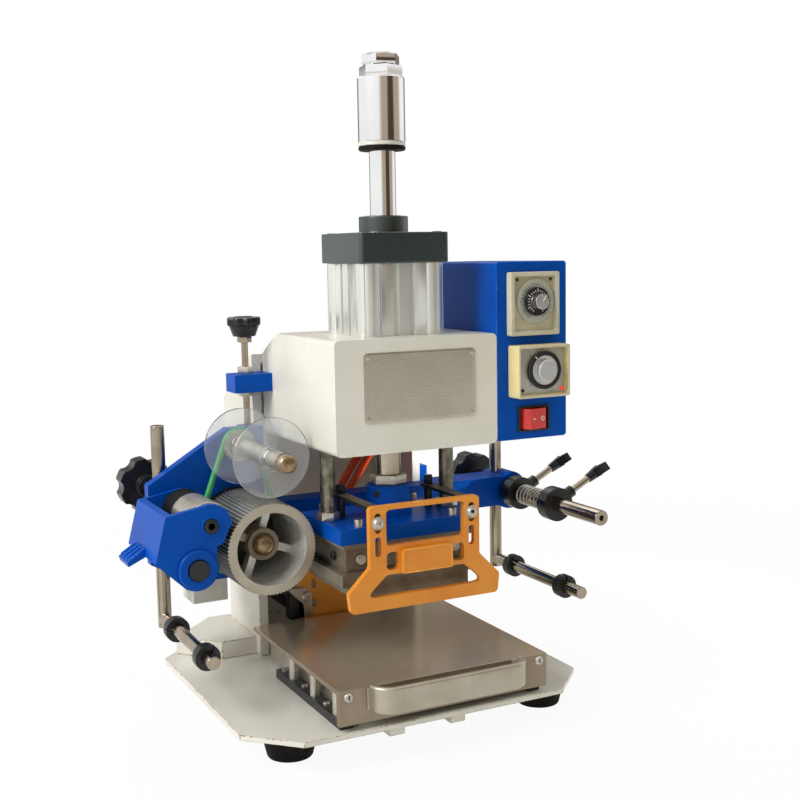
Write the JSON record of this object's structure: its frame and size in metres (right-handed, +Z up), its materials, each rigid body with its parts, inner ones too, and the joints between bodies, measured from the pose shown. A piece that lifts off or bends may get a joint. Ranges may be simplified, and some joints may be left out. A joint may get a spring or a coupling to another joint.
{
  "type": "pneumatic hot stamping machine",
  "caption": "Bench hot foil stamping press: air cylinder over a heated guarded head, drawer worktable, knurled foil feed with take-up discs, unwind shaft and a side control box.",
  "frame": {"origin": "on the floor under the middle of the machine's outline", "axes": "+Z up, -Y the front with the drawer handle, +X the control box side"},
  "size_m": [0.4932, 0.346, 0.6132],
  "materials": {
    "white_paint": "semi-gloss paint",
    "white_casting": "semi-gloss paint on a light casting",
    "blue_paint": "semi-gloss paint",
    "orange_paint": "semi-gloss paint",
    "dark_paint": "satin dark anodised",
    "aluminium": "brushed",
    "steel": "ground",
    "chrome": "polished",
    "zinc_plate": "plated sheet",
    "black_plastic": "moulded",
    "black_steel": "blackened",
    "rubber": "matt",
    "clear_plastic": "clear",
    "bronze": "turned",
    "green_belt": "round cord",
    "beige_plastic": "moulded",
    "red_plastic": "translucent",
    "insulation": "fibre board",
    "orange_hose": "extruded"
  },
  "bodies": {
    "frame": {"base_plate": "white_paint", "rubber_feet": "rubber", "frame_column": "white_paint", "head_housing": "white_casting", "nameplate": "aluminium", "cylinder_barrel": "aluminium", "cylinder_cap": "dark_paint", "guide_bushes": "bronze", "air_tubes": "orange_hose", "control_box": "blue_paint", "control_box_back": "blue_paint", "timer_unit": "beige_plastic", "temperature_unit": "beige_plastic", "switch_bezel": "black_plastic", "slide_rails": "black_steel", "rear_guard": "orange_paint", "height_block": "blue_paint", "right_arm": "blue_paint"},
    "press": {"piston_rod": "chrome", "stroke_sleeve": "chrome", "stroke_bumper": "rubber", "stroke_nuts": "steel", "press_nuts": "steel", "rod_coupling": "blue_paint", "platen": "blue_paint", "insulation_plate": "insulation", "heater_block": "aluminium", "die_plate": "aluminium", "guide_rods": "steel", "guard_arms": "steel", "safety_guard": "orange_paint"},
    "worktable": {"table_plate": "zinc_plate", "table_handle": "chrome", "table_slides": "steel"},
    "feed_frame": {"left_arm": "blue_paint", "feed_motor": "beige_plastic", "drive_belt": "green_belt"},
    "height_screw_body": {"height_screw": "black_plastic"},
    "feed_roll": {"feed_roller": "aluminium", "drive_pulley": "black_plastic"},
    "take_up": {"take_up_shaft": "steel", "spool_discs": "clear_plastic"},
    "pinch_arm": {"pinch_housing": "blue_paint"},
    "pinch_roll": {"pinch_roller": "aluminium"},
    "unwind": {"unwind_shaft": "steel", "unwind_collars": "black_steel", "unwind_spring": "steel"},
    "front_t_screw": {"t_screw_front": "black_plastic"},
    "rear_t_screw": {"t_screw_rear": "black_plastic"},
    "left_foil_guide": {"left_guide_rod": "steel"},
    "right_foil_guide": {"right_guide_rod": "steel"},
    "left_front_collar": {"left_collar_front": "black_plastic"},
    "left_rear_collar": {"left_collar_rear": "black_plastic"},
    "right_front_collar": {"right_collar_front": "black_plastic"},
    "right_rear_collar": {"right_collar_rear": "black_plastic"},
    "left_clamp": {"left_star_knob": "black_plastic"},
    "right_clamp": {"right_star_knob": "black_plastic"},
    "timer_knob": {"timer_dial": "clear_plastic"},
    "temperature_knob": {"temperature_dial": "aluminium"},
    "rocker": {"power_rocker": "red_plastic"}
  },
  "joints": [
    {"name": "press_stroke", "type": "slide", "parent": "frame", "child": "press", "axis": [0, 0, -1], "range_m": [0, 0.052]},
    {"name": "table_slide", "type": "slide", "parent": "frame", "child": "worktable", "axis": [0, -1, 0], "range_m": [0, 0.11]},
    {"name": "feed_height", "type": "slide", "parent": "frame", "child": "feed_frame", "axis": [0, 0, 1], "range_m": [-0.008, 0.008]},
    {"name": "height_turn", "type": "hinge", "parent": "feed_frame", "child": "height_screw_body", "pos_m": [-0.10658, 0.056, 0.361], "axis": [0, 0, 1], "range_deg": [-2880, 2880]},
    {"name": "feed_turn", "type": "hinge", "parent": "feed_frame", "child": "feed_roll", "pos_m": [-0.12508, -0.011, 0.174], "axis": [0, 1, 0], "continuous": true},
    {"name": "take_up_turn", "type": "hinge", "parent": "feed_frame", "child": "take_up", "pos_m": [-0.12308, -0.011, 0.2565], "axis": [0, 1, 0], "continuous": true},
    {"name": "pinch_swing", "type": "hinge", "parent": "feed_frame", "child": "pinch_arm", "pos_m": [-0.19418, -0.007, 0.1647], "axis": [0, -1, 0], "range_deg": [0, 20], "stiffness_Nm_per_rad": 2, "springref_deg": -14.32},
    {"name": "pinch_turn", "type": "hinge", "parent": "pinch_arm", "child": "pinch_roll", "pos_m": [-0.18097, -0.007, 0.20175], "axis": [0, 1, 0], "continuous": true},
    {"name": "unwind_turn", "type": "hinge", "parent": "frame", "child": "unwind", "pos_m": [0.18342, -0.047, 0.18], "axis": [0, 1, 0], "continuous": true},
    {"name": "front_t_turn", "type": "hinge", "parent": "unwind", "child": "front_t_screw", "pos_m": [0.18342, -0.042, 0.18], "axis": [0.8829, 0, 0.4695], "range_deg": [0, 360]},
    {"name": "rear_t_turn", "type": "hinge", "parent": "unwind", "child": "rear_t_screw", "pos_m": [0.18342, 0.026, 0.18], "axis": [0.8829, 0, 0.4695], "range_deg": [0, 360]},
    {"name": "left_guide_height", "type": "slide", "parent": "feed_frame", "child": "left_foil_guide", "axis": [0, 0, 1], "range_m": [-0.03, 0.02]},
    {"name": "right_guide_height", "type": "slide", "parent": "frame", "child": "right_foil_guide", "axis": [0, 0, 1], "range_m": [-0.035, 0]},
    {"name": "left_front_collar_slide", "type": "slide", "parent": "left_foil_guide", "child": "left_front_collar", "axis": [0, 1, 0], "range_m": [-0.014, 0.035]},
    {"name": "left_rear_collar_slide", "type": "slide", "parent": "left_foil_guide", "child": "left_rear_collar", "axis": [0, 1, 0], "range_m": [-0.04, 0.026]},
    {"name": "right_front_collar_slide", "type": "slide", "parent": "right_foil_guide", "child": "right_front_collar", "axis": [0, 1, 0], "range_m": [-0.024, 0.04]},
    {"name": "right_rear_collar_slide", "type": "slide", "parent": "right_foil_guide", "child": "right_rear_collar", "axis": [0, 1, 0], "range_m": [-0.04, 0.024]},
    {"name": "left_clamp_turn", "type": "hinge", "parent": "feed_frame", "child": "left_clamp", "pos_m": [-0.19288, 0.113, 0.212], "axis": [0, 1, 0], "range_deg": [-360, 0]},
    {"name": "right_clamp_turn", "type": "hinge", "parent": "frame", "child": "right_clamp", "pos_m": [0.17842, 0.113, 0.184], "axis": [0, 1, 0], "range_deg": [-360, 0]},
    {"name": "timer_set", "type": "hinge", "parent": "frame", "child": "timer_knob", "pos_m": [0.11492, -0.112, 0.3885], "axis": [0, 1, 0], "range_deg": [-150, 150]},
    {"name": "temperature_set", "type": "hinge", "parent": "frame", "child": "temperature_knob", "pos_m": [0.11792, -0.123, 0.326], "axis": [0, 1, 0], "range_deg": [-150, 150]},
    {"name": "power_rock", "type": "hinge", "parent": "frame", "child": "rocker", "pos_m": [0.11592, -0.103, 0.28], "axis": [0, 0, 1], "range_deg": [-24, 0]}
  ],
  "couplings": [
    {"joint": "height_turn", "follows": "feed_height", "rad_per_m": 6283.2},
    {"joint": "take_up_turn", "follows": "feed_turn", "ratio": 2.9286},
    {"joint": "pinch_turn", "follows": "feed_turn", "ratio": -2.1}
  ]
}
